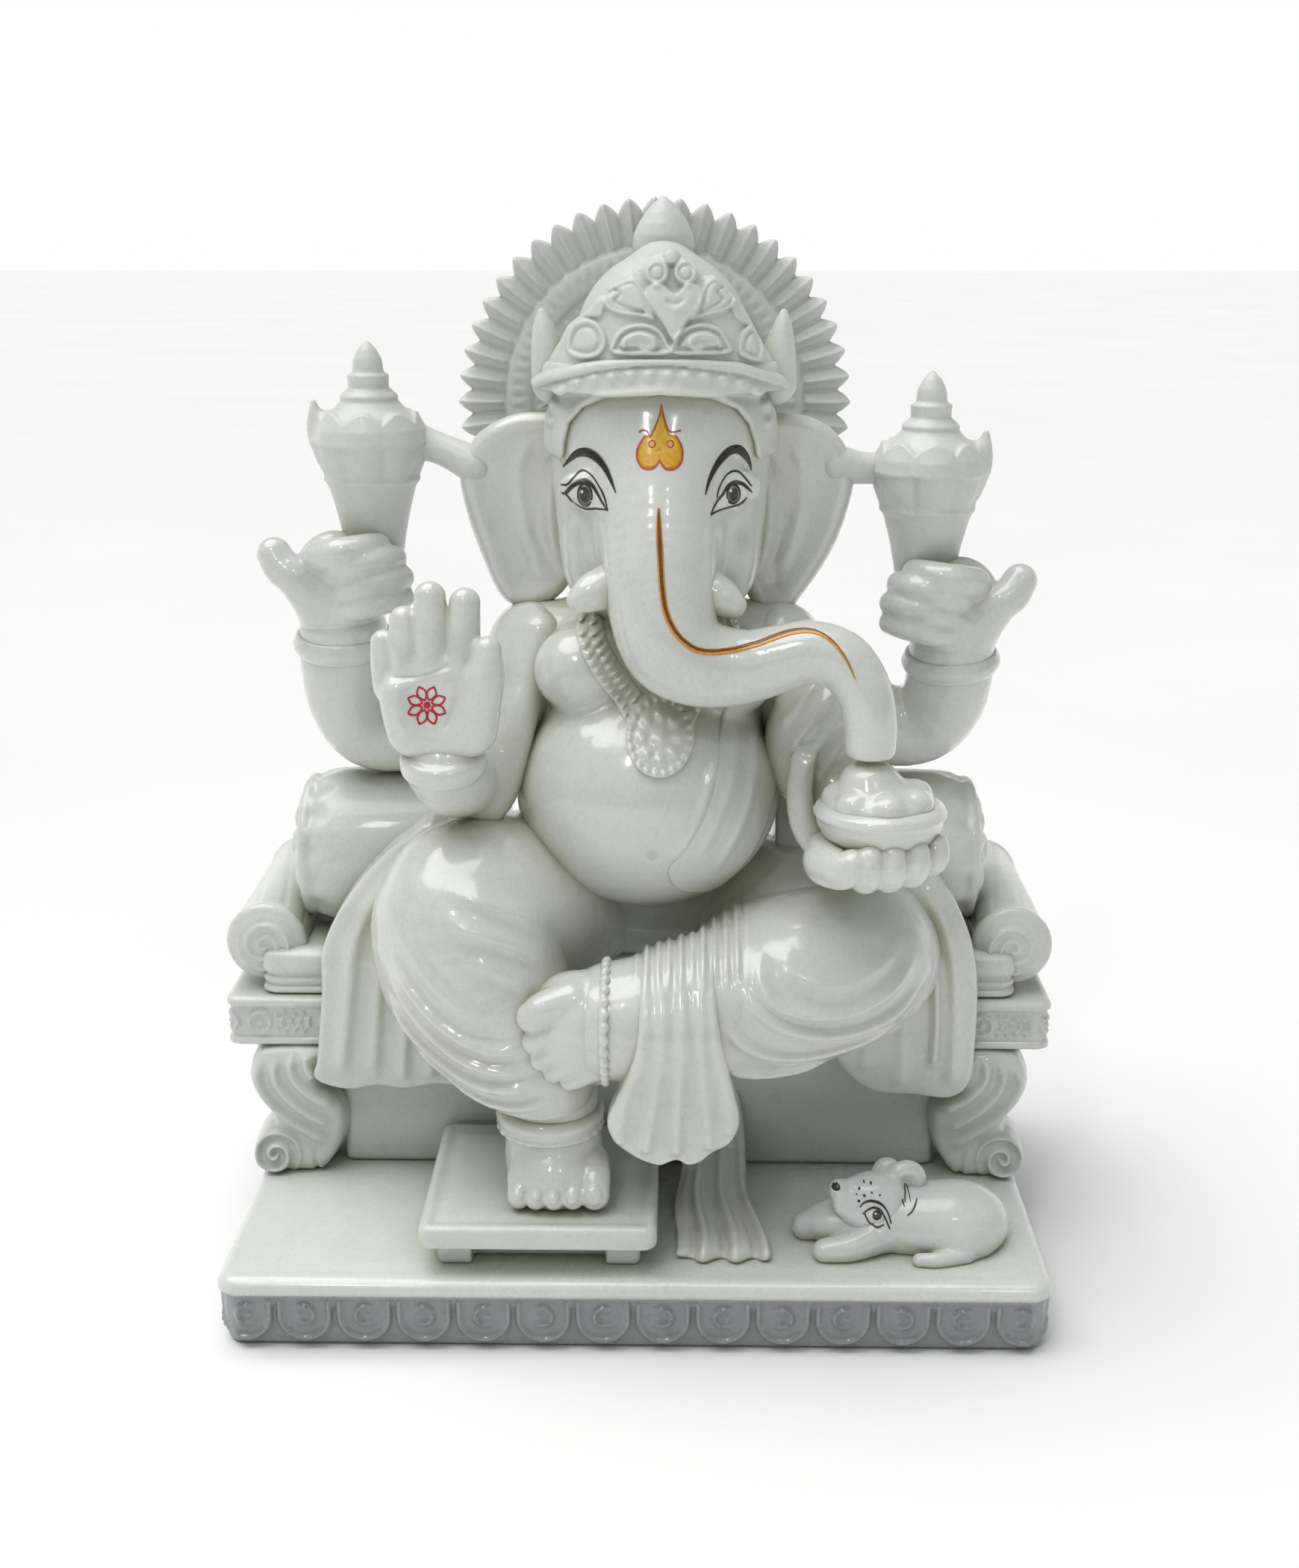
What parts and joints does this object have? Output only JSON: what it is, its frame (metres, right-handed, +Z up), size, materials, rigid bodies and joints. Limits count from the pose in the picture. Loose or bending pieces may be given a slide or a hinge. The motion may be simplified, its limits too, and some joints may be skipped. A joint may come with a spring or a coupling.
{
  "type": "ganesha idol",
  "caption": "Seated elephant-headed figure with rayed halo, crown and raised hands, on a bolstered throne with a footstool and a mouse on a rectangular plinth.",
  "frame": {"origin": "middle of the underside of the plinth, on the surface it stands on", "axes": "+Z up, -Y the way the figure looks, +X to the right as seen from the front"},
  "size_m": [0.245, 0.15, 0.3045],
  "materials": {
    "figure_marble": "glossy cast marble dust resin",
    "throne_marble": "glossy cast marble dust resin"
  },
  "bodies": {
    "root": {"plinth": "throne_marble", "throne_panel": "throne_marble", "throne_leg_front_left": "throne_marble", "throne_leg_front_right": "throne_marble", "throne_leg_rear_left": "throne_marble", "throne_leg_rear_right": "throne_marble", "seat_slab": "throne_marble", "seat_mattress": "throne_marble", "armrest_roll_left": "throne_marble", "armrest_roll_right": "throne_marble", "bolster_left": "throne_marble", "bolster_right": "throne_marble", "footstool_base": "throne_marble", "footstool_top": "throne_marble", "halo": "figure_marble", "torso": "figure_marble", "head": "figure_marble", "crown_band": "figure_marble", "crown": "figure_marble", "crown_dome": "figure_marble", "crown_leaf_left": "figure_marble", "crown_leaf_right": "figure_marble", "crown_finial": "figure_marble", "trunk": "figure_marble", "tusk_left": "figure_marble", "tusk_right": "figure_marble", "ear_left": "figure_marble", "ear_right": "figure_marble", "rear_arm_left": "figure_marble", "rear_arm_right": "figure_marble", "lotus_bud_left": "figure_marble", "lotus_bud_right": "figure_marble", "rear_hand_left": "figure_marble", "rear_hand_right": "figure_marble", "rear_bangle_left": "figure_marble", "rear_bangle_right": "figure_marble", "strut_left": "figure_marble", "strut_right": "figure_marble", "hanging_leg": "figure_marble", "folded_leg": "figure_marble", "hanging_foot": "figure_marble", "folded_foot": "figure_marble", "hanging_anklet": "figure_marble", "folded_anklet": "figure_marble", "blessing_arm": "figure_marble", "blessing_hand": "figure_marble", "sweet_bowl": "figure_marble", "sweets": "figure_marble", "sweet_arm": "figure_marble", "sweet_hand": "figure_marble", "necklace": "figure_marble", "sash": "figure_marble", "front_pleat": "figure_marble", "drape_left": "figure_marble", "drape_right": "figure_marble", "mouse_head": "figure_marble", "mouse_body": "figure_marble", "floor_drape": "figure_marble"}
  },
  "joints": []
}
